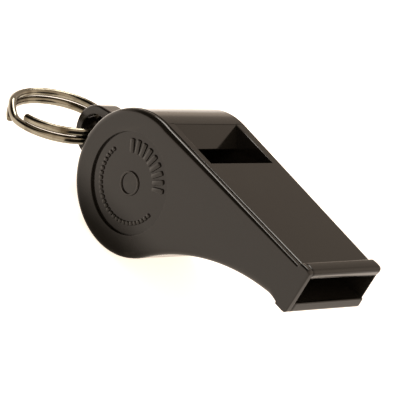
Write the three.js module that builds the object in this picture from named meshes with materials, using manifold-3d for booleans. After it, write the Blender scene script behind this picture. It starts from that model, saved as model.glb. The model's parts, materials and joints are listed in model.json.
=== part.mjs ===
// A pea whistle for training dogs: a plastic body with a barrel, a mouthpiece and a lug, a side
// cover that closes the body's right side, a cork pea and a two-turn split ring.
//
// Millimetres. +X runs towards the mouth, +Y to the whistle's left and +Z up out of the deck.
// The origin lies on the barrel's axis, on the flat outer face of the left cheek.

import * as THREE from 'three';
import { mergeVertices } from 'three/addons/utils/BufferGeometryUtils.js';
import Module from 'manifold-3d';

const wasm = await Module();
wasm.setup();

// ---------------------------------------------------------------- driving dimensions

const BARREL_RADIUS = 10.5;
const LENGTH = 32.3; // barrel axis to the mouth end
const WIDTH_AT_AXIS = 17.2; // over both cheeks, at the barrel's axis
const WIDTH_AT_MOUTH = 15.3;

const DECK_Z = BARREL_RADIUS; // the deck meets the barrel's top
const MOUTH_UNDERSIDE_Z = 4.3; // where the underside's curve ends at the mouth

const CAVITY = { right: 6.1, left: 6.6 }; // the sides of chamber and window, from the middle plane
const CHAMBER_RADIUS = 8.1;
const BLADE = { x: 2.3, z: 7.8 }; // the edge that the air stream meets
const WINDOW_FRONT_X = 8.7;

const WINDWAY_LEFT = 6.0; // its left side, from the middle plane; the cover closes its right side
const WINDWAY_INNER = { x: 8.1, floor: 7.5, roof: 9.1 };
const WINDWAY_MOUTH = { floor: 5.6, roof: 9.7 };
const FLARE = { length: 6, width: 1.3 }; // the left side's flare at the mouth

const COVER_THICKNESS = 0.9;
const COVER_DROP = 0.1; // the cover's top edge lies this far below the deck
const SEAM = 0.3; // between the cover and the body
const SPIGOT = { radius: 7.7, length: 0.8 }; // locates the cover in the chamber's open side
const PANEL = { radius: 7.3, depth: 0.4 }; // round recess in the cover

const BEAD = { length: 2.2, top: 11.1, bottom: 3.9, radius: 0.5 };

const LUG = { x: -15.1, z: -2.7, radius: 3.9, hole: 2.6, width: 3.8 };

const PEA_RADIUS = 4.6;
const PEA_CLEARANCE = 0.2;

const RING = {
  centre: new THREE.Vector3(-22.1, -2.1, -5.2),
  axis: new THREE.Vector3(-0.23, -0.098, 0.968).normalize(),
  radius: 7.05, // to the middle of the wire
  wire: 0.59,
  pitch: 1.32, // between the middles of the two turns
  start: 95, // degrees from the point away from the lug to the wire's first end
  end: 785,
  crossing: 402, // where one turn starts to pass under the other
  crossingArc: 40,
};

const ARC_STEPS = 56;
const BEYOND = 40; // more than the body's size, for cutting tools

// ---------------------------------------------------------------- derived dimensions

const SIDE_SLOPE = (WIDTH_AT_AXIS - WIDTH_AT_MOUTH) / 2 / LENGTH;

// The underside is an arc that touches the barrel and ends level at the mouth.
const BELLY_RADIUS =
  (LENGTH ** 2 + MOUTH_UNDERSIDE_Z ** 2 - BARREL_RADIUS ** 2) / (2 * (BARREL_RADIUS + MOUTH_UNDERSIDE_Z));
const BELLY_CENTRE = { x: LENGTH, z: MOUTH_UNDERSIDE_Z - BELLY_RADIUS };
const BELLY_ANGLE = Math.atan2(BELLY_CENTRE.z, BELLY_CENTRE.x);

/** Distance of the outer side face from the middle plane at x. */
function halfWidth(x) {
  return WIDTH_AT_AXIS / 2 - SIDE_SLOPE * x;
}

/** A plane parallel to the right side face and inset from it, as y at x. */
function fromRight(inset) {
  return (x) => -halfWidth(x) + inset;
}

/** A plane parallel to the left side face and inset from it, as y at x. */
function fromLeft(inset) {
  return (x) => halfWidth(x) - inset;
}

// ---------------------------------------------------------------- solids

/** A closed three.js geometry as a solid for booleans. */
function solid(geometry) {
  const bare = geometry.clone();
  bare.deleteAttribute('normal');
  bare.deleteAttribute('uv');
  const merged = mergeVertices(bare, 1e-5);
  return new wasm.Manifold(
    new wasm.Mesh({
      numProp: 3,
      vertProperties: new Float32Array(merged.attributes.position.array),
      triVerts: new Uint32Array(merged.index.array),
    }),
  );
}

/** A solid as a three.js geometry. */
function geometryOf(body) {
  const mesh = body.getMesh();
  const geometry = new THREE.BufferGeometry();
  geometry.setAttribute('position', new THREE.BufferAttribute(new Float32Array(mesh.vertProperties), 3));
  geometry.setIndex(new THREE.BufferAttribute(new Uint32Array(mesh.triVerts), 1));
  geometry.computeVertexNormals();
  return geometry;
}

/** A side-view shape in X and Z, extruded across the whistle from yLow to yHigh. */
function crossPrism(shape, yLow, yHigh) {
  const geometry = new THREE.ExtrudeGeometry(shape, {
    depth: yHigh - yLow,
    bevelEnabled: false,
    curveSegments: ARC_STEPS,
  });
  geometry.rotateX(Math.PI / 2);
  geometry.translate(0, yHigh, 0);
  return solid(geometry);
}

/** A side-view polygon given as [x, z] points. */
function polygon(points) {
  return new THREE.Shape(points.map(([x, z]) => new THREE.Vector2(x, z)));
}

/** The space between two upright planes, each given as y at x. */
function between(low, high) {
  const plan = new THREE.Shape([
    new THREE.Vector2(-BEYOND, low(-BEYOND)),
    new THREE.Vector2(BEYOND, low(BEYOND)),
    new THREE.Vector2(BEYOND, high(BEYOND)),
    new THREE.Vector2(-BEYOND, high(-BEYOND)),
  ]);
  const geometry = new THREE.ExtrudeGeometry(plan, { depth: 2 * BEYOND, bevelEnabled: false });
  geometry.translate(0, 0, -BEYOND);
  return solid(geometry);
}

/** A round bar across the whistle. */
function crossBar(radius, x, z, yLow, yHigh, steps = ARC_STEPS) {
  const geometry = new THREE.CylinderGeometry(radius, radius, yHigh - yLow, steps);
  geometry.translate(x, (yLow + yHigh) / 2, z);
  return solid(geometry);
}

// ---------------------------------------------------------------- outlines

/** The side view: barrel, deck at deckZ, and the curved underside. */
function sideOutline(deckZ) {
  const deckStart = Math.asin(Math.min(1, deckZ / BARREL_RADIUS));
  const shape = new THREE.Shape();
  shape.moveTo(LENGTH, deckZ);
  shape.lineTo(BARREL_RADIUS * Math.cos(deckStart), deckZ);
  shape.absarc(0, 0, BARREL_RADIUS, deckStart, BELLY_ANGLE + 2 * Math.PI, false);
  shape.absarc(BELLY_CENTRE.x, BELLY_CENTRE.z, BELLY_RADIUS, BELLY_ANGLE + Math.PI, Math.PI / 2, true);
  shape.closePath();
  return shape;
}

/** The rim bead's side view: a bar with rounded corners. */
function beadOutline() {
  const r = BEAD.radius;
  const left = LENGTH - BEAD.length;
  const shape = new THREE.Shape();
  shape.moveTo(left + r, BEAD.bottom);
  shape.lineTo(LENGTH - r, BEAD.bottom);
  shape.absarc(LENGTH - r, BEAD.bottom + r, r, -Math.PI / 2, 0, false);
  shape.lineTo(LENGTH, BEAD.top - r);
  shape.absarc(LENGTH - r, BEAD.top - r, r, 0, Math.PI / 2, false);
  shape.lineTo(left + r, BEAD.top);
  shape.absarc(left + r, BEAD.top - r, r, Math.PI / 2, Math.PI, false);
  shape.lineTo(left, BEAD.bottom + r);
  shape.absarc(left + r, BEAD.bottom + r, r, Math.PI, 1.5 * Math.PI, false);
  return shape;
}

/** The bead as a solid right across the whistle. */
function beadBar() {
  const geometry = new THREE.ExtrudeGeometry(beadOutline(), {
    depth: 2 * BEYOND,
    bevelEnabled: false,
    curveSegments: 5,
  });
  geometry.rotateX(Math.PI / 2);
  geometry.translate(0, BEYOND, 0);
  return solid(geometry);
}

// ---------------------------------------------------------------- body moulding

/** The lug behind the barrel: a round eye on a neck as wide as the eye. */
function lug() {
  const half = LUG.width / 2;
  const reach = Math.hypot(LUG.x, LUG.z);
  const neck = new THREE.BoxGeometry(reach - CHAMBER_RADIUS - 1, LUG.width, 2 * LUG.radius);
  neck.translate((reach + CHAMBER_RADIUS + 1) / 2, 0, 0);
  neck.rotateY(-Math.atan2(LUG.z, LUG.x));
  return crossBar(LUG.radius, LUG.x, LUG.z, -half, half, 40).add(solid(neck));
}

/** The flare of the windway's left side, seen from above. */
function mouthFlare() {
  const past = 1;
  const inner = LENGTH - FLARE.length;
  const widest = WINDWAY_LEFT + FLARE.width * (1 + past / FLARE.length);
  const plan = new THREE.Shape([
    new THREE.Vector2(inner, 0),
    new THREE.Vector2(LENGTH + past, 0),
    new THREE.Vector2(LENGTH + past, widest),
    new THREE.Vector2(inner, WINDWAY_LEFT),
  ]);
  return solid(new THREE.ExtrudeGeometry(plan, { depth: BEYOND, bevelEnabled: false }));
}

/** The air way from the mouth to the window, lower at its inner end and flared at the mouth. */
function windway() {
  const { x, floor, roof } = WINDWAY_INNER;
  const past = 1;
  const floorSlope = (WINDWAY_MOUTH.floor - floor) / (LENGTH - x);
  const roofSlope = (WINDWAY_MOUTH.roof - roof) / (LENGTH - x);
  const outer = LENGTH + past;
  const inner = x - past;
  const side = polygon([
    [inner, floor - floorSlope * past],
    [outer, WINDWAY_MOUTH.floor + floorSlope * past],
    [outer, WINDWAY_MOUTH.roof + roofSlope * past],
    [inner, roof - roofSlope * past],
  ]);
  const flare = crossPrism(side, 0, BEYOND).intersect(mouthFlare());
  return crossPrism(side, -BEYOND, WINDWAY_LEFT).add(flare);
}

/** The sound window above the chamber, with the ramp that ends in the blade. */
function soundWindow() {
  const rise = 1.5;
  const underLip = (WINDWAY_INNER.floor + WINDWAY_INNER.roof) / 2;
  const rampRun = (rise * BLADE.x) / (DECK_Z - BLADE.z);
  return crossPrism(
    polygon([
      [BLADE.x, BLADE.z],
      [0, -1],
      [CHAMBER_RADIUS, -1],
      [CHAMBER_RADIUS, underLip],
      [WINDOW_FRONT_X, underLip],
      [WINDOW_FRONT_X, DECK_Z + rise],
      [-rampRun, DECK_Z + rise],
    ]),
    -CAVITY.right,
    CAVITY.left,
  );
}

function bodyMoulding() {
  const bead = beadBar();
  const outer = crossPrism(sideOutline(DECK_Z), -BEYOND, BEYOND)
    .add(bead)
    .intersect(between(fromRight(COVER_THICKNESS + SEAM), fromLeft(0)));
  const chamber = crossBar(CHAMBER_RADIUS, 0, 0, -BEYOND, CAVITY.left, 96);
  const hole = crossBar(LUG.hole, LUG.x, LUG.z, -BEYOND, BEYOND, 40);
  return outer.add(lug()).subtract(chamber).subtract(soundWindow()).subtract(windway()).subtract(hole);
}

// ---------------------------------------------------------------- right side cover

/** The round recess, square to the cover's sloping face. */
function panelRecess() {
  const height = 2 * PANEL.depth;
  const geometry = new THREE.CylinderGeometry(PANEL.radius, PANEL.radius, height, 64);
  geometry.rotateZ(Math.atan(SIDE_SLOPE));
  geometry.translate(0, -halfWidth(0), 0);
  return solid(geometry);
}

function rightSideCover() {
  const plate = crossPrism(sideOutline(DECK_Z - COVER_DROP), -BEYOND, 0)
    .add(beadBar())
    .intersect(between(fromRight(0), fromRight(COVER_THICKNESS)));
  const inner = -halfWidth(0) + COVER_THICKNESS;
  const spigot = crossBar(SPIGOT.radius, 0, 0, inner - COVER_THICKNESS / 2, inner + SPIGOT.length, 64);
  return plate.add(spigot).subtract(panelRecess());
}

// ---------------------------------------------------------------- split ring

/**
 * The middle of the ring's wire. Each turn lies one pitch below the last, and the wire passes from
 * one level to the next in a short crossing, so that its last end lies under the crossing.
 */
class SplitRingPath extends THREE.Curve {
  getPoint(t, target = new THREE.Vector3()) {
    const outward = new THREE.Vector3(-1, 0, 0).projectOnPlane(RING.axis).normalize();
    const sideways = new THREE.Vector3().crossVectors(RING.axis, outward);
    const turn = RING.start + t * (RING.end - RING.start);
    const past = turn - RING.crossing;
    const first = THREE.MathUtils.smoothstep(past, 0, RING.crossingArc);
    const second = THREE.MathUtils.smoothstep(past - 360, 0, RING.crossingArc);
    const height = RING.pitch * (0.5 - first - second);
    const angle = THREE.MathUtils.degToRad(turn);
    return target
      .copy(RING.centre)
      .addScaledVector(outward, RING.radius * Math.cos(angle))
      .addScaledVector(sideways, RING.radius * Math.sin(angle))
      .addScaledVector(RING.axis, height);
  }
}

function splitRing() {
  const section = new THREE.Shape();
  section.absarc(0, 0, RING.wire, 0, 2 * Math.PI, false);
  return new THREE.ExtrudeGeometry(section, {
    extrudePath: new SplitRingPath(),
    steps: 120,
    curveSegments: 5,
    bevelEnabled: false,
  });
}

// ---------------------------------------------------------------- pea

function pea() {
  return new THREE.SphereGeometry(PEA_RADIUS, 24, 16);
}

// ---------------------------------------------------------------- assembly

/** A named mesh with its own material. */
function piece(name, geometry, material) {
  const mesh = new THREE.Mesh(geometry, new THREE.MeshStandardMaterial(material));
  mesh.name = name;
  return mesh;
}

const blackPlastic = { color: 0x1c1917, roughness: 0.22, metalness: 0 };
const cork = { color: 0xb98a58, roughness: 0.85, metalness: 0 };
const nickel = { color: 0xc9c2b4, roughness: 0.2, metalness: 1 };

const body = piece('body_moulding', geometryOf(bodyMoulding()), blackPlastic);
const cover = piece('right_side_cover', geometryOf(rightSideCover()), blackPlastic);
const corkPea = piece('pea', pea(), cork);
const ring = piece('split_ring', splitRing(), nickel);

corkPea.position.z = -(CHAMBER_RADIUS - PEA_RADIUS - PEA_CLEARANCE);

const whistle = new THREE.Group();
whistle.add(body, cover, corkPea, ring);
whistle.position.y = -WIDTH_AT_AXIS / 2;

const group = new THREE.Group();
group.add(whistle);

export default group;
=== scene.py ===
"""Looks of a pea whistle with a split ring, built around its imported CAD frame.

Lengths are in metres in the row's frame: +X towards the mouth, +Y to the whistle's left, +Z up.
Class fields that are sizes are written in millimetres times MM.
PAST is how far a cutting tool reaches past what it cuts.
"""

import json
import logging
import math
from dataclasses import dataclass, field
from enum import Enum
from typing import Callable, Iterable, Sequence

import bmesh
import bpy
from mathutils import Matrix, Vector, noise


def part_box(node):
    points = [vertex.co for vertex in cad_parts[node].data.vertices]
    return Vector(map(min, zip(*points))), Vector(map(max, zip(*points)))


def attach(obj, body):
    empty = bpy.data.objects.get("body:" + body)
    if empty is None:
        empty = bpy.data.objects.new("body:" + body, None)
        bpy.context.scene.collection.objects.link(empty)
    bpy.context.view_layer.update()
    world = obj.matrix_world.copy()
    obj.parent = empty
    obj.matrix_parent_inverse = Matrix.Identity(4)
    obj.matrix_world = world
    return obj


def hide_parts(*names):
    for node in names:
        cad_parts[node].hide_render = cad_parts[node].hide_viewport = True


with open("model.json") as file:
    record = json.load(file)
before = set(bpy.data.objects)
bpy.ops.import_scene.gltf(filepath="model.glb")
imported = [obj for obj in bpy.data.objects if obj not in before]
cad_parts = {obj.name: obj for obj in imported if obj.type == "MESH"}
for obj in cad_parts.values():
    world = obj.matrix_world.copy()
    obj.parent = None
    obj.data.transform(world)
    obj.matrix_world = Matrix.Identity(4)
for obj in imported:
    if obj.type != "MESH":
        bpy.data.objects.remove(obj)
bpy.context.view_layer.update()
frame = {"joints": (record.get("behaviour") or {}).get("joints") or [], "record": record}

LOG = logging.getLogger("whistle")
MM = 0.001
PAST = 1 * MM

Point = tuple[float, float]
Height = Callable[[float], float]
Profile = Sequence[Point]


class Body(Enum):
    """The CAD bodies that pieces ride on."""

    WHISTLE = "whistle"
    PEA = "pea"
    RING = "ring"


class Slot(Enum):
    """The record's material slots."""

    BODY = "body_plastic"
    COVER = "cover_plastic"
    CORK = "cork"
    RING = "ring_steel"


# ---------------------------------------------------------------- datum from the frame


@dataclass(frozen=True)
class Datum:
    """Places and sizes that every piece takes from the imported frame.

    The barrel's axis runs along Y through x = 0, z = 0.
    """

    mid_y: float
    slope: float
    barrel_radius: float
    mouth_x: float
    deck_z: float
    bead_top: float
    eye: Vector
    floor_z: float

    @classmethod
    def from_frame(cls) -> "Datum":
        """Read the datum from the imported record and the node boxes.

        Returns:
            The datum of this whistle.
        """
        mounts = {m["name"]: m for m in frame["record"]["mounts"]}
        swing = next(j for j in frame["joints"] if j["name"] == "ring_swing")
        low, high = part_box("body_moulding")
        side = mounts["left_cheek"]["axis"]
        eye = Vector(swing["pos_m"])
        return cls(
            mid_y=eye.y,
            slope=side[0] / side[1],
            barrel_radius=-low[2],
            mouth_x=high[0],
            deck_z=mounts["deck"]["pos_m"][2],
            bead_top=high[2],
            eye=eye,
            floor_z=low[2],
        )

    def half_width(self, x: float) -> float:
        """Distance of a side face from the middle plane at x."""
        return -self.mid_y - self.slope * x

    def from_right(self, inset: float) -> Height:
        """A plane parallel to the right side face.

        Args:
            inset: how far the plane lies inside that face.

        Returns:
            A function that gives y at x.
        """
        return lambda x: self.mid_y - self.half_width(x) + inset

    def from_left(self, inset: float) -> Height:
        """A plane parallel to the left side face.

        Args:
            inset: how far the plane lies inside that face.

        Returns:
            A function that gives y at x.
        """
        return lambda x: self.mid_y + self.half_width(x) - inset

    def level(self, offset: float) -> Height:
        """A plane square to the barrel's axis, offset from the middle plane."""
        return lambda x: self.mid_y + offset


# ---------------------------------------------------------------- outlines


@dataclass
class Outline:
    """A closed side view in X and Z, drawn point by point."""

    points: list[Point] = field(default_factory=list)

    def line(self, x: float, z: float) -> "Outline":
        """Draw a straight stretch to a point."""
        self.points.append((x, z))
        return self

    def arc(self, centre: Point, radius: float, start: float, end: float, step: float = 4.0) -> "Outline":
        """Draw an arc.

        Args:
            centre: the arc's centre.
            radius: its radius.
            start: its first angle in degrees, from +X towards +Z.
            end: its last angle in degrees.
            step: the largest angle between two points.

        Returns:
            The outline itself.
        """
        count = max(2, math.ceil(abs(end - start) / step))
        for i in range(count + 1):
            a = math.radians(start + (end - start) * i / count)
            self.points.append((centre[0] + radius * math.cos(a), centre[1] + radius * math.sin(a)))
        return self

    def closed(self) -> list[Point]:
        """The outline's points, counter-clockwise in X and Z, without repeats."""
        kept: list[Point] = []
        for point in self.points:
            if not kept or math.dist(point, kept[-1]) > 0.002 * MM:
                kept.append(point)
        if math.dist(kept[0], kept[-1]) < 0.002 * MM:
            kept.pop()
        return kept if signed_area(kept) > 0 else kept[::-1]


def ramp(value: float, low: float, high: float) -> float:
    """A share from 0 at low to 1 at high, held at its ends."""
    return max(0.0, min(1.0, (value - low) / (high - low)))


def signed_area(points: Sequence[Point]) -> float:
    """Area of a polygon, positive when it runs counter-clockwise."""
    pairs = zip(points, [*points[1:], points[0]])
    return sum(a[0] * b[1] - b[0] * a[1] for a, b in pairs) / 2


def inset_outline(points: Sequence[Point], distances: Sequence[float]) -> list[Point]:
    """Move every point of a counter-clockwise outline inwards.

    Args:
        points: the outline.
        distances: how far each point moves, square to its edges.

    Returns:
        The new outline, point for point.
    """
    count = len(points)
    moved = []
    for i in range(count):
        before = Vector(points[i]) - Vector(points[i - 1])
        after = Vector(points[(i + 1) % count]) - Vector(points[i])
        n1 = Vector((-before.y, before.x)).normalized()
        n2 = Vector((-after.y, after.x)).normalized()
        mean = (n1 + n2).normalized()
        stretch = 1 / max(0.5, mean.dot(n1))
        place = Vector(points[i]) + mean * distances[i] * stretch
        moved.append((place.x, place.y))
    return moved


def round_edge(run: float, drop: float, steps: int = 5) -> list[Point]:
    """The profile of a rounded edge.

    Args:
        run: the rounding's size across the plate.
        drop: its size along the face.
        steps: facets in the rounding.

    Returns:
        (run, drop) pairs from the flat face to the outline.
    """
    turns = [math.pi / 2 * k / steps for k in range(steps + 1)]
    return [(run * (1 - math.cos(t)), drop * (1 - math.sin(t))) for t in turns]


def sloped_edge(run: float, drop: float, radius: float) -> list[Point]:
    """The profile of an edge that slopes down gently before it turns.

    Args:
        run: the slope's width.
        drop: how far it falls.
        radius: the small rounding at its foot.

    Returns:
        (run, drop) pairs from the flat face to the outline.
    """
    foot = [(a, b + drop) for a, b in round_edge(radius, radius, 3)]
    return [*foot, (run - 0.1 * MM, 0.012 * MM), (run + 0.15 * MM, 0.0)]


# ---------------------------------------------------------------- meshes


def new_object(name: str, mesh: bpy.types.Mesh) -> bpy.types.Object:
    """Put a mesh into the scene as an object at the origin."""
    thing = bpy.data.objects.new(name, mesh)
    bpy.context.scene.collection.objects.link(thing)
    return thing


def mesh_object(name: str, shape: bmesh.types.BMesh) -> bpy.types.Object:
    """Turn a bmesh into an object with its faces pointing out.

    Args:
        name: the object's name.
        shape: the bmesh, which is freed.

    Returns:
        The new object.
    """
    bmesh.ops.remove_doubles(shape, verts=shape.verts, dist=0.0005 * MM)
    bmesh.ops.recalc_face_normals(shape, faces=shape.faces)
    mesh = bpy.data.meshes.new(name)
    shape.to_mesh(mesh)
    shape.free()
    return new_object(name, mesh)


def skin_rings(shape: bmesh.types.BMesh, rings: Sequence[Sequence[Vector]]) -> None:
    """Join closed rings of equal length into one body with flat ends."""
    rows = [[shape.verts.new(p) for p in ring] for ring in rings]
    for low, high in zip(rows, rows[1:]):
        for i in range(len(low)):
            j = (i + 1) % len(low)
            shape.faces.new((low[i], low[j], high[j], high[i]))
    shape.faces.new(rows[0][::-1])
    shape.faces.new(rows[-1])


def rounded_plate(
    name: str,
    points: list[Point],
    low: Height,
    high: Height,
    low_edge: Profile = ((0.0, 0.0),),
    high_edge: Profile = ((0.0, 0.0),),
    low_scale: Callable[[Point], float] = lambda point: 1.0,
    high_scale: Callable[[Point], float] = lambda point: 1.0,
) -> bpy.types.Object:
    """Extrude a side view across the whistle, with its two long edges shaped.

    Args:
        name: the object's name.
        points: the side view in X and Z.
        low: y of the right face at x.
        high: y of the left face at x.
        low_edge: profile of the right face's edge.
        high_edge: profile of the left face's edge.
        low_scale: how large the right face's edge is at a point of the side view, up to 1.
        high_scale: how large the left face's edge is there.

    Returns:
        The plate as an object.
    """

    def rings(
        face: Height, edge: Profile, inward: float, scale: Callable[[Point], float]
    ) -> list[list[Vector]]:
        """The rings of one edge, from the flat face to the outline."""
        scales = [scale(point) for point in points]
        made = []
        for run, drop in edge:
            ring = inset_outline(points, [drop * k for k in scales])
            made.append([Vector((x, face(x) + inward * run * k, z)) for (x, z), k in zip(ring, scales)])
        return made

    shape = bmesh.new()
    skin_rings(shape, rings(low, low_edge, 1, low_scale) + rings(high, high_edge, -1, high_scale)[::-1])
    return mesh_object(name, shape)


def turned(
    name: str,
    profile: Sequence[Point],
    place: Matrix,
    sides: int = 128,
) -> bpy.types.Object:
    """Turn a profile about an axis into a closed body.

    Args:
        name: the object's name.
        profile: (radius, height) pairs from one end of the axis to the other.
        place: matrix from the turned body's frame, axis along Z, to the row's frame.
        sides: facets round the axis.

    Returns:
        The turned body.
    """
    shape = bmesh.new()
    rows = []
    for radius, height in profile:
        ring = []
        for i in range(sides):
            a = 2 * math.pi * i / sides
            ring.append(place @ Vector((radius * math.cos(a), radius * math.sin(a), height)))
        rows.append(ring)
    skin_rings(shape, rows)
    return mesh_object(name, shape)


def across(x: float, y: float, z: float) -> Matrix:
    """A frame whose Z runs along the whistle's +Y, placed at a point."""
    return Matrix.Translation((x, y, z)) @ Matrix.Rotation(-math.pi / 2, 4, "X")


def baked(thing: bpy.types.Object) -> bpy.types.Object:
    """Turn an object's modifiers into plain mesh."""
    graph = bpy.context.evaluated_depsgraph_get()
    graph.update()
    mesh = bpy.data.meshes.new_from_object(thing.evaluated_get(graph))
    thing.modifiers.clear()
    thing.data = mesh
    return thing


def combine(
    thing: bpy.types.Object,
    tools: Iterable[bpy.types.Object],
    operation: str,
) -> bpy.types.Object:
    """Join or cut a body with others, which are used up.

    Args:
        thing: the body to change.
        tools: the other bodies.
        operation: UNION or DIFFERENCE.

    Returns:
        The changed body.
    """
    for tool in tools:
        step = thing.modifiers.new("combine", "BOOLEAN")
        step.operation = operation
        step.solver = "EXACT"
        step.object = tool
        baked(thing)
        bpy.data.objects.remove(tool)
    return thing


def soften(thing: bpy.types.Object, width: float, angle: float = 28.0) -> bpy.types.Object:
    """Round an object's sharp outer edges and shade its flats flat.

    Args:
        thing: the object.
        width: the rounding's width.
        angle: edges sharper than this many degrees are rounded, unless they are inner corners.

    Returns:
        The object, as plain mesh.
    """
    shape = bmesh.new()
    shape.from_mesh(thing.data)
    weight = shape.edges.layers.float.new("bevel_weight_edge")
    for side in shape.edges:
        outer = side.is_manifold and side.is_convex
        side[weight] = 1.0 if outer and side.calc_face_angle() > math.radians(angle) else 0.0
    shape.to_mesh(thing.data)
    shape.free()
    edge = thing.modifiers.new("edge", "BEVEL")
    edge.width = width
    edge.segments = 3
    edge.limit_method = "WEIGHT"
    edge.use_clamp_overlap = False
    edge.miter_outer = "MITER_ARC"
    baked(thing)
    return shaded(thing)


def shaded(thing: bpy.types.Object, sharp: float = 50.0) -> bpy.types.Object:
    """Shade an object smoothly, with large faces kept flat."""
    thing.data.polygons.foreach_set("use_smooth", [True] * len(thing.data.polygons))
    thing.data.set_sharp_from_angle(angle=math.radians(sharp))
    weight = thing.modifiers.new("flats", "WEIGHTED_NORMAL")
    weight.keep_sharp = True
    weight.weight = 90
    return baked(thing)


# ---------------------------------------------------------------- node trees


class Tree:
    """Adds nodes to a node tree and links them, one step a line."""

    def __init__(self, tree: bpy.types.NodeTree) -> None:
        """Hold the tree to build in."""
        self.tree = tree

    def feed(self, socket: bpy.types.NodeSocket, value: object) -> None:
        """Link a socket to another one, or set its value."""
        if isinstance(value, bpy.types.NodeSocket):
            self.tree.links.new(value, socket)
        else:
            socket.default_value = value

    def add(self, kind: str, inputs: dict | None = None, **settings: object) -> bpy.types.Node:
        """Add a node.

        Args:
            kind: the node's type name.
            inputs: values or sockets for its inputs, by name or index.
            settings: the node's own properties.

        Returns:
            The node.
        """
        node = self.tree.nodes.new(kind)
        for key, value in settings.items():
            setattr(node, key, value)
        for key, value in (inputs or {}).items():
            self.feed(node.inputs[key], value)
        return node

    def math(self, operation: str, *values: object, clamp: bool = False) -> bpy.types.NodeSocket:
        """A math node's result."""
        node = self.add("ShaderNodeMath", operation=operation, use_clamp=clamp)
        for i, value in enumerate(values):
            self.feed(node.inputs[i], value)
        return node.outputs[0]

    def blend(self, factor: object, low: object, high: object) -> bpy.types.NodeSocket:
        """A mix of two colours."""
        node = self.add("ShaderNodeMix", data_type="RGBA")
        self.feed(node.inputs[0], factor)
        self.feed(node.inputs[6], low)
        self.feed(node.inputs[7], high)
        return node.outputs[2]

    def span(self, value: object, low: object, high: object, top: float = 1.0) -> bpy.types.NodeSocket:
        """A straight rise from 0 at low to top at high, held at its ends."""
        node = self.add("ShaderNodeMapRange", {0: value, 1: low, 2: high, 3: 0.0, 4: top})
        return node.outputs[0]

    def ease(self, value: object, low: object, high: object) -> bpy.types.NodeSocket:
        """A smooth rise from 0 at low to 1 at high, held at its ends."""
        inputs = {0: value, 1: low, 2: high, 3: 0.0, 4: 1.0}
        node = self.add("ShaderNodeMapRange", inputs, interpolation_type="SMOOTHSTEP")
        return node.outputs[0]


def geometry_tree(name: str, inputs: Sequence[tuple[str, str, float]]) -> tuple[Tree, bpy.types.Node]:
    """Start a Geometry Nodes tree.

    Args:
        name: the tree's name.
        inputs: (name, socket type, default) of each size that it takes.

    Returns:
        The tree's builder and its group input node.
    """
    tree = bpy.data.node_groups.new(name, "GeometryNodeTree")
    tree.is_modifier = True
    face = tree.interface
    face.new_socket("Geometry", in_out="INPUT", socket_type="NodeSocketGeometry")
    for label, kind, default in inputs:
        socket = face.new_socket(label, in_out="INPUT", socket_type=kind)
        socket.default_value = default
    face.new_socket("Geometry", in_out="OUTPUT", socket_type="NodeSocketGeometry")
    build = Tree(tree)
    return build, build.add("NodeGroupInput")


def end_tree(build: Tree, shape: bpy.types.NodeSocket, material: bpy.types.Material) -> None:
    """End a tree in Realize Instances and Set Material."""
    real = build.add("GeometryNodeRealizeInstances", {0: shape})
    dressed = build.add("GeometryNodeSetMaterial", {"Geometry": real.outputs[0], "Material": material})
    build.add("NodeGroupOutput", {0: dressed.outputs[0]})


def grow(
    name: str,
    build: Tree,
    sizes: dict[str, object],
    seed_mesh: bpy.types.Mesh | None = None,
) -> bpy.types.Object:
    """Run a Geometry Nodes tree and keep its result as plain mesh.

    Args:
        name: the object's name.
        build: the finished tree's builder.
        sizes: the tree's inputs by name.
        seed_mesh: the mesh that the tree starts from, or nothing.

    Returns:
        The object that the tree made.
    """
    thing = new_object(name, seed_mesh or bpy.data.meshes.new(name))
    step = thing.modifiers.new("grow", "NODES")
    step.node_group = build.tree
    for item in build.tree.interface.items_tree:
        if item.in_out == "INPUT" and item.name in sizes:
            step[item.identifier] = sizes[item.name]
    return baked(thing)


# ---------------------------------------------------------------- finishes


def new_material(name: str) -> tuple[bpy.types.Material, Tree, bpy.types.Node]:
    """Start a material on a Principled shader.

    Args:
        name: the material's name.

    Returns:
        The material, its tree's builder and the shader node.
    """
    material = bpy.data.materials.new(name)
    material.use_nodes = True
    shader = material.node_tree.nodes["Principled BSDF"]
    return material, Tree(material.node_tree), shader


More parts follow.
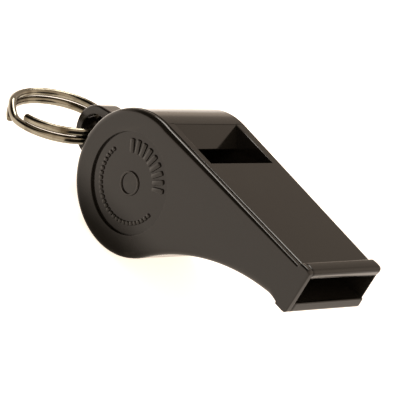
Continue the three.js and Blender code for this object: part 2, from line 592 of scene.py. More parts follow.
@dataclass(frozen=True)
class GlossPlastic:
    """Smooth moulded plastic with handling wear.

    Painted shade: the specular level falls to almost nothing low on the barrel, between two heights given
    as a field. It stands in for the reflected contact shadow under the whistle.
    """

    name: str = "black_plastic"
    colour: tuple[float, float, float, float] = (0.0058, 0.0053, 0.0044, 1.0)
    worn: tuple[float, float, float, float] = (0.0110, 0.0100, 0.0085, 1.0)
    roughness: float = 0.10
    ior: float = 1.365
    # Heights of the painted shade: full below the first, none above the second.
    painted_shade_heights: tuple[float, float] = (-9.2 * MM, -2.5 * MM)

    def material(self) -> bpy.types.Material:
        """Build the finish.

        Returns:
            The material.
        """
        material, build, shader = new_material(self.name)
        place = build.add("ShaderNodeTexCoord").outputs["Object"]
        smudge = build.add("ShaderNodeTexNoise", {"Vector": place, "Scale": 260.0, "Detail": 4.0})
        grain = build.add("ShaderNodeTexNoise", {"Vector": place, "Scale": 5200.0, "Detail": 3.0})
        peel = build.add("ShaderNodeTexNoise", {"Vector": place, "Scale": 900.0, "Detail": 2.0})
        streak = build.add("ShaderNodeMapping", {"Vector": place, "Scale": (500.0, 6000.0, 9000.0)})
        streak.inputs["Rotation"].default_value = (0.3, 0.5, 0.2)
        rub = build.add("ShaderNodeTexNoise", {"Vector": streak.outputs[0], "Scale": 1.0, "Detail": 2.0})
        scratch = build.span(rub.outputs["Fac"], 0.66, 0.74)
        handled = build.span(smudge.outputs["Fac"], 0.42, 0.66)
        edge = build.add("ShaderNodeNewGeometry").outputs["Pointiness"]
        worn = build.span(edge, 0.51, 0.60, 0.7)
        wear = build.math("MAXIMUM", worn, build.math("MULTIPLY", scratch, 0.25))
        colour = build.blend(wear, self.colour, self.worn)
        build.feed(shader.inputs["Base Color"], colour)
        rough = build.math("MULTIPLY_ADD", handled, 0.05, self.roughness)
        rough = build.math("MULTIPLY_ADD", scratch, 0.08, rough)
        build.feed(shader.inputs["Roughness"], rough)
        shader.inputs["IOR"].default_value = self.ior
        # Painted shade: low on the barrel the specular level fades to 0.04, a painted reflection of the
        # contact shadow under the whistle. Smudge noise breaks up its edge.
        level = build.add("ShaderNodeSeparateXYZ", {0: place}).outputs[2]
        cloud = build.math("MULTIPLY_ADD", smudge.outputs["Fac"], 1.2 * MM, -0.6 * MM)
        unshaded_share = build.ease(build.math("ADD", level, cloud), *self.painted_shade_heights)
        build.feed(shader.inputs["Specular IOR Level"], build.math("MULTIPLY_ADD", unshaded_share, 0.46, 0.04))
        height = build.math("MULTIPLY_ADD", grain.outputs["Fac"], 0.12, peel.outputs["Fac"])
        height = build.math("MULTIPLY_ADD", scratch, -0.15, height)
        bump = build.add("ShaderNodeBump", {"Height": height, "Strength": 0.06, "Distance": 0.03 * MM})
        build.feed(shader.inputs["Normal"], bump.outputs[0])
        return material


@dataclass(frozen=True)
class NickelWire:
    """Nickel-plated spring wire, drawn lengthwise and slightly tarnished."""

    name: str = "nickel_wire"
    bright: tuple[float, float, float, float] = (0.23, 0.215, 0.17, 1.0)
    dull: tuple[float, float, float, float] = (0.085, 0.07, 0.045, 1.0)
    roughness: float = 0.10

    def material(self) -> bpy.types.Material:
        """Build the finish.

        Returns:
            The material.
        """
        material, build, shader = new_material(self.name)
        place = build.add("ShaderNodeTexCoord").outputs["Object"]
        stain = build.add("ShaderNodeTexNoise", {"Vector": place, "Scale": 420.0, "Detail": 5.0})
        fine = build.add("ShaderNodeTexNoise", {"Vector": place, "Scale": 4200.0, "Detail": 3.0})
        stained = build.span(stain.outputs["Fac"], 0.45, 0.70)
        build.feed(shader.inputs["Base Color"], build.blend(stained, self.bright, self.dull))
        shader.inputs["Metallic"].default_value = 1.0
        rough = build.math("MULTIPLY_ADD", stained, 0.12, self.roughness)
        rough = build.math("MULTIPLY_ADD", fine.outputs["Fac"], 0.06, rough)
        build.feed(shader.inputs["Roughness"], rough)
        bump = build.add(
            "ShaderNodeBump", {"Height": fine.outputs["Fac"], "Strength": 0.10, "Distance": 0.02 * MM}
        )
        build.feed(shader.inputs["Normal"], bump.outputs[0])
        return material


@dataclass(frozen=True)
class Cork:
    """Natural cork with dark lenticels and pale grains."""

    name: str = "cork"
    pale: tuple[float, float, float, float] = (0.52, 0.32, 0.16, 1.0)
    brown: tuple[float, float, float, float] = (0.26, 0.13, 0.055, 1.0)
    pit: tuple[float, float, float, float] = (0.06, 0.028, 0.012, 1.0)

    def material(self) -> bpy.types.Material:
        """Build the finish.

        Returns:
            The material.
        """
        material, build, shader = new_material(self.name)
        place = build.add("ShaderNodeTexCoord").outputs["Object"]
        cells = build.add("ShaderNodeTexVoronoi", {"Vector": place, "Scale": 1500.0})
        cloud = build.add("ShaderNodeTexNoise", {"Vector": place, "Scale": 500.0, "Detail": 6.0})
        pits = build.add("ShaderNodeTexNoise", {"Vector": place, "Scale": 1300.0, "Detail": 3.0})
        tone = build.math("MULTIPLY_ADD", cells.outputs["Distance"], 0.4, cloud.outputs["Fac"])
        colour = build.blend(build.span(tone, 0.45, 0.95), self.pale, self.brown)
        pitted = build.span(pits.outputs["Fac"], 0.60, 0.68)
        build.feed(shader.inputs["Base Color"], build.blend(pitted, colour, self.pit))
        shader.inputs["Roughness"].default_value = 0.85
        height = build.math("MULTIPLY_ADD", pitted, -1.0, cells.outputs["Distance"])
        bump = build.add("ShaderNodeBump", {"Height": height, "Strength": 0.5, "Distance": 0.12 * MM})
        build.feed(shader.inputs["Normal"], bump.outputs[0])
        return material


@dataclass(frozen=True)
class PaleFloor:
    """Plain pale studio floor, also lit from below so that its shadows stay faint.

    The light from below is strongest at the front left and fades towards the back right.
    """

    name: str = "pale_floor"
    colour: tuple[float, float, float, float] = (0.86, 0.87, 0.90, 1.0)
    glow: tuple[float, float, float, float] = (1.0, 0.86, 0.72, 1.0)
    strength: tuple[float, float] = (1.05, 0.42)
    fade: tuple[float, float] = (0.0 * MM, 45.0 * MM)
    fade_heading: tuple[float, float, float] = (0.57, 0.82, 0.0)

    def material(self) -> bpy.types.Material:
        """Build the finish.

        Returns:
            The material.
        """
        material, build, shader = new_material(self.name)
        shader.inputs["Base Color"].default_value = self.colour
        shader.inputs["Roughness"].default_value = 0.6
        shader.inputs["Emission Color"].default_value = self.glow
        place = build.add("ShaderNodeTexCoord").outputs["Object"]
        away = build.add("ShaderNodeVectorMath", {0: place, 1: self.fade_heading}, operation="DOT_PRODUCT")
        near, far = self.strength
        fading = build.ease(away.outputs["Value"], *self.fade)
        build.feed(shader.inputs["Emission Strength"], build.math("MULTIPLY_ADD", fading, far - near, near))
        return material


# ---------------------------------------------------------------- whistle outlines


@dataclass(frozen=True)
class SideView:
    """The side view that the body and the cover share: barrel, deck, rim bead and underside.

    The bead's top is crowned: crown is the radius of that stretch and its tilt at the back in degrees.
    """

    datum: Datum
    underside_z: float = 4.3 * MM
    bead_length: float = 2.2 * MM
    bead_bottom: float = 3.9 * MM
    front_round: float = 0.6 * MM
    top_round: float = 0.40 * MM
    top_fillet: float = 0.11 * MM
    crown: tuple[float, float] = (5.5 * MM, 10.0)
    bottom_round: float = 0.19 * MM
    bottom_fillet: float = 0.11 * MM

    def outline(self, deck_drop: float = 0.0) -> list[Point]:
        """Draw the side view.

        Args:
            deck_drop: how far the top edge lies below the deck.

        Returns:
            The closed outline.
        """
        d = self.datum
        r = d.barrel_radius
        deck = d.deck_z - deck_drop
        belly_r = (d.mouth_x**2 + self.underside_z**2 - r**2) / (2 * (r + self.underside_z))
        belly = (d.mouth_x, self.underside_z - belly_r)
        touch = math.degrees(math.atan2(belly[1], belly[0]))
        deck_start = math.degrees(math.asin(min(1.0, deck / r)))
        back = d.mouth_x - self.bead_length
        over, under_ease = self.top_fillet, self.bottom_fillet
        under = belly[1] + math.sqrt(belly_r**2 - (self.bead_length + under_ease) ** 2)
        under_angle = math.degrees(math.asin((self.bead_length + under_ease) / belly_r)) + 90
        front, top, bottom = self.front_round, d.bead_top, self.bead_bottom
        view = Outline()
        view.line(back - over, deck)
        view.arc((back - over, deck + over), over, -90, 0, 15)
        crown_r, tilt = self.crown
        lean = math.radians(tilt)
        corner_z = top - crown_r * (1 - math.cos(lean)) - self.top_round * math.cos(lean)
        crown_x = back + self.top_round + (crown_r - self.top_round) * math.sin(lean)
        view.arc((back + self.top_round, corner_z), self.top_round, 180, 90 + tilt, 12)
        view.arc((crown_x, top - crown_r), crown_r, 90 + tilt, 90, 2)
        view.arc((d.mouth_x - front, top - front), front, 90, 0, 12)
        view.arc((d.mouth_x - front, bottom + front), front, 0, -90, 12)
        view.arc((back + self.bottom_round, bottom + self.bottom_round), self.bottom_round, -90, -180, 15)
        view.arc((back - under_ease, under - under_ease), under_ease, 0, 90, 20)
        view.arc(belly, belly_r, under_angle, touch + 180, 1.5)
        view.arc((0.0, 0.0), r, touch, deck_start - 360, 2)
        return view.closed()

    def edge_scale(self, at_top: float, at_bottom: float) -> Callable[[Point], float]:
        """How large a long edge is along the side view: full, and smaller round the bead.

        Args:
            at_top: its share round the bead's top.
            at_bottom: its share round the bead's bottom.

        Returns:
            A function that gives the share at a point of the side view.
        """
        back = self.datum.mouth_x - self.bead_length
        middle = self.datum.deck_z / 2

        def share(point: Point) -> float:
            """The edge's share at a point."""
            near = ramp(point[0], back - 1.4 * MM, back - 0.3 * MM)
            upper = ramp(point[1], middle, self.datum.deck_z - 0.2 * MM)
            bead = at_bottom + (at_top - at_bottom) * upper
            return 1 + (bead - 1) * near

        return share


# ---------------------------------------------------------------- body moulding


@dataclass
class BodyMoulding:
    """Left cheek, barrel wall, deck, window, windway, rim bead and lug in one moulding.

    windway_inner is the air way's x, floor and roof at its inner end, and windway_mouth its floor and
    roof at the mouth. lip is the chamfer above the slot: its depth and its height on the front face.
    flare is the length and the width of the air way's spread to the left.
    """

    datum: Datum
    view: SideView
    joint: float = 0.93 * MM
    slope_run: float = 0.75 * MM
    slope_drop: float = 0.17 * MM
    slope_start: float = 0.2
    slope_growth: tuple[float, float] = (2.0 * MM, 27.0 * MM)
    slope_at_bead: float = 0.5
    slope_foot: float = 0.04 * MM
    left_round: float = 0.5 * MM
    left_at_bead: tuple[float, float] = (0.76, 0.34)
    cavity_right: float = 6.1 * MM
    cavity_left: float = 6.6 * MM
    chamber_radius: float = 8.1 * MM
    blade: Point = (2.3 * MM, 7.8 * MM)
    window_front: float = 8.7 * MM
    windway_left: float = 6.0 * MM
    windway_inner: tuple[float, float, float] = (8.1 * MM, 7.5 * MM, 9.1 * MM)
    windway_mouth: Point = (5.6 * MM, 9.55 * MM)
    lip: Point = (0.34 * MM, 10.4 * MM)
    flare: Point = (6.0 * MM, 1.75 * MM)
    lug_radius: float = 3.9 * MM
    lug_hole: float = 2.6 * MM
    lug_half: float = 1.9 * MM
    lug_edge: float = 0.35 * MM
    lug_root: tuple[float, float] = (1.2 * MM, 0.5 * MM)
    chamber_ease: float = 0.5 * MM
    gate_radius: float = 1.1 * MM
    gate_depth: float = 0.12 * MM
    edge: float = 0.13 * MM

    def shell(self) -> bpy.types.Object:
        """The outer form, without the lug."""
        d = self.datum
        right_edge = sloped_edge(self.slope_run, self.slope_drop, self.slope_foot)
        left_edge = round_edge(self.left_round, self.left_round)
        low, high = d.from_right(self.joint), d.from_left(0)
        at_bead = self.view.edge_scale(self.slope_at_bead, self.slope_at_bead)

        def slope(point: Point) -> float:
            """The slope's share: little on the barrel, full near the mouth, less on the bead."""
            full = ramp(point[0], *self.slope_growth)
            return (self.slope_start + (1 - self.slope_start) * full) * at_bead(point)

        outline, left = self.view.outline(), self.view.edge_scale(*self.left_at_bead)
        return rounded_plate("body_moulding_fine", outline, low, high, right_edge, left_edge, slope, left)

    def lug(self) -> bpy.types.Object:
        """The eye and its neck, one rounded plate that runs into the barrel wall."""
        eye = self.datum.eye
        reach = math.hypot(eye.x, eye.z)
        out = Vector((eye.x, eye.z)) / reach
        side = Vector((-out.y, out.x))
        angle = math.degrees(math.atan2(out.y, out.x))
        sunk, wider = self.lug_root
        foot = out * (self.chamber_radius + sunk)
        spread = side * (self.lug_radius + wider)
        view = Outline()
        view.line(*(foot + spread))
        view.arc((eye.x, eye.z), self.lug_radius, angle + 90, angle - 90, 5)
        view.line(*(foot - spread))
        low = self.datum.level(-self.lug_half)
        high = self.datum.level(self.lug_half)
        edge = round_edge(self.lug_edge, self.lug_edge)
        return rounded_plate("lug", view.closed(), low, high, edge, edge)

    def chamber(self) -> bpy.types.Object:
        """The round space for the pea, open through the right side."""
        d = self.datum
        depth = 2 * d.half_width(0)
        r = self.chamber_radius
        ease = self.chamber_ease
        end = self.cavity_left + depth
        profile = [(r, 0.0)]
        for turn in (math.pi / 2, 1.0, 0.5):
            profile.append((r - ease * (1 - math.sin(turn)), end - ease * (1 - math.cos(turn))))
        profile += [(r - ease, end), (0.0001 * MM, end)]
        return turned("chamber", profile, across(0, d.mid_y - depth, 0), 144)

    def window(self) -> bpy.types.Object:
        """The sound window with its ramp and blade."""
        inner_x, floor, roof = self.windway_inner
        rise = 1.5 * MM
        run = rise * self.blade[0] / (self.datum.deck_z - self.blade[1])
        middle = (floor + roof) / 2
        view = Outline()
        view.line(*self.blade).line(0, -PAST).line(inner_x, -PAST).line(inner_x, middle)
        view.line(self.window_front, middle).line(self.window_front, self.datum.deck_z + rise)
        view.line(-run, self.datum.deck_z + rise)
        low, high = self.datum.level(-self.cavity_right), self.datum.level(self.cavity_left)
        return rounded_plate("window", view.closed(), low, high)

    def windway(self) -> bpy.types.Object:
        """The space of the air way, which narrows towards the window and flares left at the mouth."""
        d = self.datum
        inner_x, floor, roof = self.windway_inner
        run = d.mouth_x - inner_x
        floor_slope = (self.windway_mouth[0] - floor) / run
        roof_slope = (self.windway_mouth[1] - roof) / run
        lip_x = d.mouth_x - self.lip[0]
        flare_x = d.mouth_x - self.flare[0]
        spread = self.flare[1] / self.flare[0]

        def section(x: float, lift: float = 0.0) -> list[Vector]:
            """The air way's section at x, with its roof lifted by an amount."""
            low = floor + floor_slope * (x - inner_x)
            high = roof + roof_slope * (x - inner_x) + lift
            right = d.from_right(-PAST)(x)
            left = d.mid_y + self.windway_left + max(0.0, x - flare_x) * spread
            return [Vector((x, y, z)) for y, z in ((right, low), (left, low), (left, high), (right, high))]

        beyond = d.mouth_x + 0.1 * MM
        lift = (self.lip[1] - self.windway_mouth[1]) * (beyond - lip_x) / self.lip[0]
        sections = [section(x) for x in (inner_x - PAST, flare_x, lip_x)]
        sections += [section(x, lift) for x in (beyond, beyond + PAST)]
        shape = bmesh.new()
        skin_rings(shape, sections)
        return mesh_object("windway", shape)

    def eye_hole(self) -> bpy.types.Object:
        """The hole through the lug."""
        reach = 2 * self.lug_half
        place = across(self.datum.eye.x, self.datum.mid_y - reach, self.datum.eye.z)
        return turned("eye_hole", [(self.lug_hole, 0), (self.lug_hole, 2 * reach)], place, 64)

    def gate_mark(self) -> bpy.types.Object:
        """The shallow dimple that the moulding gate leaves on the left cheek."""
        r, depth = self.gate_radius, self.gate_depth
        face = self.datum.from_left(0)(0)
        profile = [(r - 0.1 * MM, -depth), (r, depth), (r, 3 * depth)]
        return turned("gate_mark", profile, across(0, face, 0), 48)

    def build(self, material: bpy.types.Material) -> bpy.types.Object:
        """Build the moulding.

        Args:
            material: its finish.

        Returns:
            The finished piece.
        """
        body = combine(self.shell(), [self.lug()], "UNION")
        tools = [self.chamber(), self.window(), self.windway(), self.eye_hole(), self.gate_mark()]
        combine(body, tools, "DIFFERENCE")
        soften(body, self.edge)
        body.data.materials.clear()
        body.data.materials.append(material)
        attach(body, Body.WHISTLE.value)
        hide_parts("body_moulding")
        return body


# ---------------------------------------------------------------- right side cover


@dataclass
class SideCover:
    """The plate that closes the right side, with its round recessed panel and its marks."""

    datum: Datum
    view: SideView
    thickness: float = 0.9 * MM
    drop: float = 0.05 * MM
    edge_round: Point = (0.84 * MM, 1.15 * MM)
    edge_start: float = 0.78
    edge_growth: tuple[float, float] = (4.0 * MM, 26.0 * MM)
    edge_at_bead: tuple[float, float] = (0.33, 0.15)
    spigot_radius: float = 7.7 * MM
    spigot_length: float = 0.8 * MM
    panel_radius: float = 7.3 * MM
    panel_depth: float = 0.4 * MM
    panel_dome: float = 0.12 * MM
    edge: float = 0.08 * MM

    def face_frame(self) -> Matrix:
        """A frame on the cover's outer face: X along it, Y up and Z outwards, at the barrel's axis."""
        d = self.datum
        along = Vector((1, d.slope, 0)).normalized()
        up = Vector((0, 0, 1))
        out = along.cross(up)
        turn = Matrix((along, up, out)).transposed().to_4x4()
        return Matrix.Translation((0, d.from_right(0)(0), 0)) @ turn

    def plate(self) -> bpy.types.Object:
        """The plate itself."""
        d = self.datum
        outline = self.view.outline(self.drop)
        low, high = d.from_right(0), d.from_right(self.thickness)
        edge = round_edge(*self.edge_round, 8)
        at_bead = self.view.edge_scale(*self.edge_at_bead)

        def share(point: Point) -> float:
            """The edge's share: smaller on the barrel, full near the mouth, least on the bead."""
            full = ramp(point[0], *self.edge_growth)
            return (self.edge_start + (1 - self.edge_start) * full) * at_bead(point)

        return rounded_plate("right_side_cover_fine", outline, low, high, edge, low_scale=share)

    def spigot(self) -> bpy.types.Object:
        """The disc inside, which locates the cover in the chamber."""
        start = self.datum.from_right(0)(0) + self.thickness / 2
        profile = [(self.spigot_radius, 0), (self.spigot_radius, self.thickness / 2 + self.spigot_length)]
        return turned("spigot", profile, across(0, start, 0))

    def panel(self) -> bpy.types.Object:
        """The space of the recessed panel, which leaves a slightly domed floor."""
        r, depth = self.panel_radius, self.panel_depth
        steps = 12
        dome = [(r * k / steps, -depth + self.panel_dome * (1 - (k / steps) ** 2)) for k in range(1, steps)]
        profile = [(0.02 * MM, -depth + self.panel_dome), *dome, (r - 0.06 * MM, -depth), (r, PAST)]
        return turned("panel", profile, self.face_frame(), 160)

    def build(self, material: bpy.types.Material) -> bpy.types.Object:
        """Build the cover, its spigot and its panel.

        Args:
            material: its finish.

        Returns:
            The finished piece.
        """
        cover = combine(self.plate(), [self.spigot()], "UNION")
        combine(cover, [self.panel()], "DIFFERENCE")
        soften(cover, self.edge)
        cover.data.materials.clear()
        cover.data.materials.append(material)
        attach(cover, Body.WHISTLE.value)
        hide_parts("right_side_cover")
        return cover


@dataclass
class PanelMarks:
    """Generic raised marks on the recessed panel: short bars, small dots and a plain ring."""

    cover: SideCover
    height: float = 0.22 * MM
    bar: tuple[float, float] = (0.75 * MM, 2.1 * MM)
    bar_radius: float = 5.3 * MM
    bar_arc: tuple[float, float] = (28.0, 122.0)
    bars: int = 9
    dot: float = 0.30 * MM
    dot_radius: float = 5.6 * MM
    dot_arc: tuple[float, float] = (160.0, 345.0)
    dots: int = 27
    ring_radius: float = 1.6 * MM

    def stamp(self, width: float, length: float) -> bpy.types.Mesh:
        """One raised bar with sloped, rounded sides, length along Y and height along Z."""
        shape = bmesh.new()
        rings = []
        for inset, level in ((0.0, -0.1), (0.0, 0.35), (0.10, 0.8), (0.26, 1.0)):
            grow_x = width / 2 - inset * width / 2
            grow_y = length / 2 - inset * width / 2
            corner = min(grow_x, grow_y) * 0.6
            ring = []
            for quarter, (sx, sy) in enumerate(((1, 1), (-1, 1), (-1, -1), (1, -1))):
                for step in range(4):
                    a = math.radians(90 * quarter + 30 * step)
                    x = sx * (grow_x - corner) + corner * math.cos(a)
                    y = sy * (grow_y - corner) + corner * math.sin(a)
                    ring.append(Vector((x, y, level * self.height)))
            rings.append(ring)
        skin_rings(shape, rings)
        bmesh.ops.recalc_face_normals(shape, faces=shape.faces)
        mesh = bpy.data.meshes.new("stamp")
        shape.to_mesh(mesh)
        shape.free()
        mesh.polygons.foreach_set("use_smooth", [True] * len(mesh.polygons))
        return mesh

    def row(
        self,
        name: str,
        stamp: bpy.types.Mesh,
        sizes: dict[str, object],
        material: bpy.types.Material,
    ) -> bpy.types.Object:
        """Repeat a stamp along an arc on the panel.

        Args:
            name: the row's name.
            stamp: the mesh to repeat.
            sizes: the tree's inputs.
            material: the finish.

        Returns:
            The row as an object in the panel's own frame.
        """
        build, given = geometry_tree(
            name + "_tree",
            [
                ("Radius", "NodeSocketFloat", self.bar_radius),
                ("Start", "NodeSocketFloat", 0.0),
                ("Sweep", "NodeSocketFloat", 1.0),
                ("Count", "NodeSocketInt", 5),
            ],
        )
        arc = build.add(
            "GeometryNodeCurveArc",
            {
                "Resolution": 64,
                "Radius": given.outputs["Radius"],
                "Start Angle": given.outputs["Start"],
                "Sweep Angle": given.outputs["Sweep"],
            },
        )
        spots = build.add(
            "GeometryNodeCurveToPoints", {"Curve": arc.outputs[0], "Count": given.outputs["Count"]}
        )
        place = build.add("GeometryNodeInputPosition").outputs[0]
        split = build.add("ShaderNodeSeparateXYZ", {0: place})
        heading = build.math("ARCTAN2", split.outputs[1], split.outputs[0])
        turn = build.math("SUBTRACT", heading, math.pi / 2)
        spin = build.add("ShaderNodeCombineXYZ", {2: turn})
        rotation = build.add("FunctionNodeEulerToRotation", {0: spin.outputs[0]})
        copies = build.add(
            "GeometryNodeInstanceOnPoints",
            {
                "Points": spots.outputs["Points"],
                "Instance": given.outputs["Geometry"],
                "Rotation": rotation.outputs[0],
            },
        )
        end_tree(build, copies.outputs[0], material)
        return grow(name, build, sizes, stamp)

    def centre_ring(self, material: bpy.types.Material) -> bpy.types.Object:
        """A plain raised ring at the panel's centre."""
        r, h, w = self.ring_radius, self.height, 0.16 * MM
        inner = [(r - w, -0.3 * h), (r - w, 0.5 * h), (r - 0.5 * w, h)]
        turn = inner + [(2 * r - radius, level) for radius, level in reversed(inner)]
        shape = bmesh.new()
        rows = []
        sides = 64
        for radius, level in turn:
            ring = []
            for i in range(sides):
                a = 2 * math.pi * i / sides
                ring.append(shape.verts.new((radius * math.cos(a), radius * math.sin(a), level)))
            rows.append(ring)
        for low, high in zip(rows, [*rows[1:], rows[0]]):
            for i in range(sides):
                j = (i + 1) % sides
                shape.faces.new((low[i], low[j], high[j], high[i]))
        ring = mesh_object("panel_ring", shape)
        ring.data.polygons.foreach_set("use_smooth", [True] * len(ring.data.polygons))
        ring.data.materials.append(material)
        return ring

    def build(self, material: bpy.types.Material) -> list[bpy.types.Object]:
        """Build all the marks on the panel's floor.

        Args:
            material: the cover's finish.

        Returns:
            The finished pieces.
        """
        cover = self.cover
        bar = self.stamp(*self.bar)
        dot = self.stamp(2 * self.dot, 2 * self.dot)
        rows = [
            ("panel_bars", bar, self.bar_radius, self.bar_arc, self.bars),
            ("panel_dots", dot, self.dot_radius, self.dot_arc, self.dots),
        ]
        pieces = []
        for name, stamp, radius, (start, end), count in rows:
            sizes = {
                "Radius": radius,
                "Start": math.radians(start),
                "Sweep": math.radians(end - start),
                "Count": count,
            }
            pieces.append((self.row(name, stamp, sizes, material), radius))
        pieces.append((self.centre_ring(material), self.ring_radius))
        for piece, radius in pieces:
            rise = cover.panel_dome * (1 - (radius / cover.panel_radius) ** 2)
            level = Matrix.Translation((0, 0, rise - cover.panel_depth))
            piece.data.transform(cover.face_frame() @ level)
            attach(piece, Body.WHISTLE.value)
        return [piece for piece, radius in pieces]


# ---------------------------------------------------------------- split ring


@dataclass
class SplitRing:
    """Two turns of plated wire, each a pitch below the last, with a short crossing between them."""

    datum: Datum
    centre: Vector = field(default_factory=lambda: Vector((-22.1, -2.1, -5.2)) * MM)
    axis: Vector = field(default_factory=lambda: Vector((-0.23, -0.098, 0.968)).normalized())
    radius: float = 7.05 * MM
    wire: float = 0.59 * MM
    pitch: float = 1.32 * MM
    start: float = 95.0
    end: float = 785.0
    crossing: float = 402.0
    crossing_arc: float = 40.0
    tip_arc: float = 2.6
    tip_size: float = 0.65

    def tree(self, material: bpy.types.Material) -> Tree:
        """The tree that winds the wire.

        Args:
            material: the wire's finish.

        Returns:
            The finished tree's builder.
        """
        build, given = geometry_tree(
            "split_ring_tree",
            [
                ("Radius", "NodeSocketFloat", self.radius),
                ("Wire", "NodeSocketFloat", self.wire),
                ("Pitch", "NodeSocketFloat", self.pitch),
                ("Start", "NodeSocketFloat", self.start),
                ("End", "NodeSocketFloat", self.end),
                ("Crossing", "NodeSocketFloat", self.crossing),
                ("Crossing Arc", "NodeSocketFloat", self.crossing_arc),
                ("Points", "NodeSocketInt", 520),
            ],
        )
        radius, wire, pitch = (given.outputs[n] for n in ("Radius", "Wire", "Pitch"))
        start, end = given.outputs["Start"], given.outputs["End"]
        arc = given.outputs["Crossing Arc"]
        line = build.add("GeometryNodeCurvePrimitiveLine", {"End": (0.0, 0.0, 1.0)})
        path = build.add(
            "GeometryNodeResampleCurve", {"Curve": line.outputs[0], "Count": given.outputs["Points"]}
        )
        along = build.add("GeometryNodeSplineParameter").outputs["Factor"]
        turn = build.math("MULTIPLY_ADD", along, build.math("SUBTRACT", end, start), start)
        past = build.math("SUBTRACT", turn, given.outputs["Crossing"])
        first = build.ease(past, 0.0, arc)
        second = build.ease(build.math("SUBTRACT", past, 360.0), 0.0, arc)
        level = build.math("SUBTRACT", build.math("SUBTRACT", 0.5, first), second)
        height = build.math("MULTIPLY", pitch, level)
        before, after = build.math("SUBTRACT", turn, start), build.math("SUBTRACT", end, turn)
        from_end = build.math("MINIMUM", before, after)
        angle = build.math("RADIANS", turn)
        x = build.math("MULTIPLY", radius, build.math("COSINE", angle))
        y = build.math("MULTIPLY", radius, build.math("SINE", angle))
        spot = build.add("ShaderNodeCombineXYZ", {0: x, 1: y, 2: height})
        moved = {"Geometry": path.outputs[0], "Position": spot.outputs[0]}
        wound = build.add("GeometryNodeSetPosition", moved)
        tip = build.math("DIVIDE", from_end, self.tip_arc, clamp=True)
        short = build.math("POWER", build.math("SUBTRACT", 1.0, tip), 4.0)
        bulge = build.math("SQRT", build.math("SUBTRACT", 1.0, short))
        size = build.math("MULTIPLY_ADD", bulge, 1 - self.tip_size, self.tip_size)
        shaped = build.add("GeometryNodeSetCurveRadius", {"Curve": wound.outputs[0], "Radius": size})
        section = build.add("GeometryNodeCurvePrimitiveCircle", {"Resolution": 20, "Radius": wire})
        tube = build.add(
            "GeometryNodeCurveToMesh",
            {"Curve": shaped.outputs[0], "Profile Curve": section.outputs[0], "Fill Caps": True},
        )
        if "Scale" in tube.inputs:
            build.feed(tube.inputs["Scale"], size)
        smooth = build.add("GeometryNodeSetShadeSmooth", {0: tube.outputs[0]})
        end_tree(build, smooth.outputs[0], material)
        return build

    def place(self) -> Matrix:
        """The ring's own frame: Z along its axis and X away from the lug."""
        z = self.axis
        outward = Vector((-1, 0, 0))
        x = (outward - z * outward.dot(z)).normalized()
        y = z.cross(x)
        turn = Matrix((x, y, z)).transposed().to_4x4()
        return Matrix.Translation(self.centre + Vector((0, self.datum.mid_y, 0))) @ turn

    def build(self, material: bpy.types.Material) -> bpy.types.Object:
        """Wind the ring.

        Args:
            material: its finish.

        Returns:
            The finished piece.
        """
        sizes = {
            "Radius": self.radius,
            "Wire": self.wire,
            "Pitch": self.pitch,
            "Start": self.start,
            "End": self.end,
            "Crossing": self.crossing,
            "Crossing Arc": self.crossing_arc,
        }
        ring = grow("split_ring_fine", self.tree(material), sizes)
        ring.data.transform(self.place())
        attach(ring, Body.RING.value)
        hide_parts("split_ring")
        return ring


# ---------------------------------------------------------------- cork pea


@dataclass
class CorkPea:
    """The loose ball in the chamber, cut from cork and pitted."""

    roughness: float = 0.10 * MM
    pitch: float = 1.1 * MM

    def build(self, material: bpy.types.Material) -> bpy.types.Object:
        """Build the pea.

        Args:
            material: its finish.

        Returns:
            The finished piece.
        """
        low, high = (Vector(corner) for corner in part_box("pea"))
        centre = (low + high) / 2
        radius = (high.x - low.x) / 2
        shape = bmesh.new()
        bmesh.ops.create_icosphere(shape, subdivisions=5, radius=radius)
        for vert in shape.verts:
            lump = noise.fractal(vert.co / self.pitch, 0.8, 2.0, 3)
            vert.co *= 1 - self.roughness / radius * max(0.0, min(1.0, 0.4 + lump))
            vert.co += centre
        pea = mesh_object("pea_fine", shape)
        pea.data.polygons.foreach_set("use_smooth", [True] * len(pea.data.polygons))
        pea.data.materials.append(material)
        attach(pea, Body.PEA.value)
        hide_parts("pea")
        return pea


# ---------------------------------------------------------------- studio


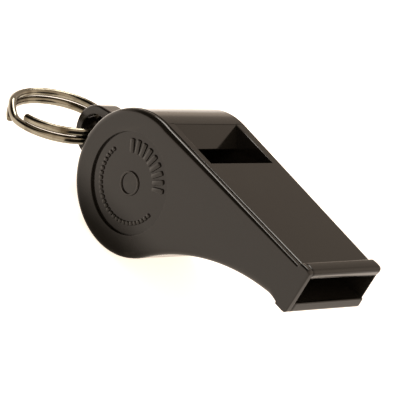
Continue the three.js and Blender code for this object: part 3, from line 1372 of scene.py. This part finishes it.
@dataclass
class Studio:
    """Pale floor, soft light and the camera."""

    datum: Datum
    azimuth: float = 35.12
    elevation: float = 25.99
    roll: float = 30.45
    distance: float = 350 * MM
    aim: Vector = field(default_factory=lambda: Vector((3.95, 2.75, -0.03)) * MM)
    lens: float = 222.5
    warmth: tuple[float, float, float, float] = (1.25, 1.02, 0.82, 1.0)
    horizon: float = 0.9
    horizon_band: tuple[float, float] = (0.10, 0.22)
    sky_left: float = 0.5
    sky_right: float = 1.2
    side_window: tuple[float, float] = (-0.4, 0.45)
    screen: Vector = field(default_factory=lambda: Vector((-0.55, -0.58, 0.60)))
    screen_edge: tuple[float, float] = (0.77, 0.90)
    screen_depth: float = 0.97
    softbox_place: Vector = field(default_factory=lambda: Vector((-0.35, 0.23, 0.53)))
    softbox_size: float = 0.30
    softbox_power: float = 2.6
    softbox_colour: tuple[float, float, float] = (1.0, 0.95, 0.88)

    def camera(self) -> None:
        """Place the camera at the set view."""
        a, e = math.radians(self.azimuth), math.radians(self.elevation)
        back = Vector((math.sin(a) * math.cos(e), -math.cos(a) * math.cos(e), math.sin(e)))
        target = self.aim + Vector((0, self.datum.mid_y, 0))
        data = bpy.data.cameras.new("camera")
        data.lens = self.lens
        data.sensor_width = 36
        data.clip_start = 0.01
        camera = bpy.data.objects.new("camera", data)
        bpy.context.scene.collection.objects.link(camera)
        facing = back.to_track_quat("Z", "Y").to_matrix().to_4x4()
        spin = Matrix.Rotation(math.radians(self.roll), 4, "Z")
        camera.matrix_world = Matrix.Translation(target + back * self.distance) @ facing @ spin
        bpy.context.scene.camera = camera

    def floor(self) -> None:
        """Lay the pale floor under the barrel."""
        shape = bmesh.new()
        bmesh.ops.create_grid(shape, x_segments=1, y_segments=1, size=3.0)
        bmesh.ops.translate(shape, verts=shape.verts, vec=(0, 0, self.datum.floor_z))
        floor = mesh_object("floor", shape)
        floor.data.materials.append(PaleFloor().material())

    def sky(self) -> None:
        """Set the surroundings: a bright horizon, a dimmer sky and a dark screen at the front left."""
        world = bpy.data.worlds.new("studio")
        world.use_nodes = True
        build = Tree(world.node_tree)
        heading = build.add("ShaderNodeTexCoord").outputs["Generated"]
        split = build.add("ShaderNodeSeparateXYZ", {0: heading})
        aside = build.ease(split.outputs[0], *self.side_window)
        above = build.math("MULTIPLY_ADD", aside, self.sky_right - self.sky_left, self.sky_left)
        raised = build.ease(split.outputs[2], *self.horizon_band)
        height = build.math("SUBTRACT", above, self.horizon)
        glow = build.math("MULTIPLY_ADD", raised, height, self.horizon)
        screen = self.screen.normalized()
        facing = build.add("ShaderNodeVectorMath", {0: heading, 1: tuple(screen)}, operation="DOT_PRODUCT")
        shade = build.ease(facing.outputs["Value"], *self.screen_edge)
        strength = build.math("MULTIPLY", glow, build.math("MULTIPLY_ADD", shade, -self.screen_depth, 1.0))
        ground = world.node_tree.nodes["Background"]
        ground.inputs["Color"].default_value = self.warmth
        build.feed(ground.inputs["Strength"], strength)
        bpy.context.scene.world = world
        bpy.context.scene.view_settings.view_transform = "Standard"

    def light(self) -> None:
        """Hang one square soft light over the back left of the whistle."""
        data = bpy.data.lights.new("softbox", "AREA")
        data.size = self.softbox_size
        data.energy = self.softbox_power
        data.color = self.softbox_colour
        softbox = bpy.data.objects.new("softbox", data)
        centre = Vector((0, self.datum.mid_y, 0))
        facing = self.softbox_place.to_track_quat("Z", "Y").to_matrix().to_4x4()
        softbox.matrix_world = Matrix.Translation(centre + self.softbox_place) @ facing
        bpy.context.scene.collection.objects.link(softbox)

    def build(self) -> None:
        """Set the whole studio up."""
        self.camera()
        self.floor()
        self.sky()
        self.light()


# ---------------------------------------------------------------- main


def report(piece: bpy.types.Object) -> None:
    """Log one finished piece."""
    LOG.info("%s: %d faces", piece.name, len(piece.data.polygons))


def main() -> None:
    """Build the studio and every piece."""
    logging.basicConfig(level=logging.INFO, format="%(name)s %(message)s")
    datum = Datum.from_frame()
    Studio(datum).build()
    view = SideView(datum)
    plastic = GlossPlastic().material()
    cover = SideCover(datum, view)
    report(BodyMoulding(datum, view).build(plastic))
    report(cover.build(plastic))
    for mark in PanelMarks(cover).build(plastic):
        report(mark)
    report(SplitRing(datum).build(NickelWire().material()))
    report(CorkPea().build(Cork().material()))


if __name__ == "__main__":
    main()
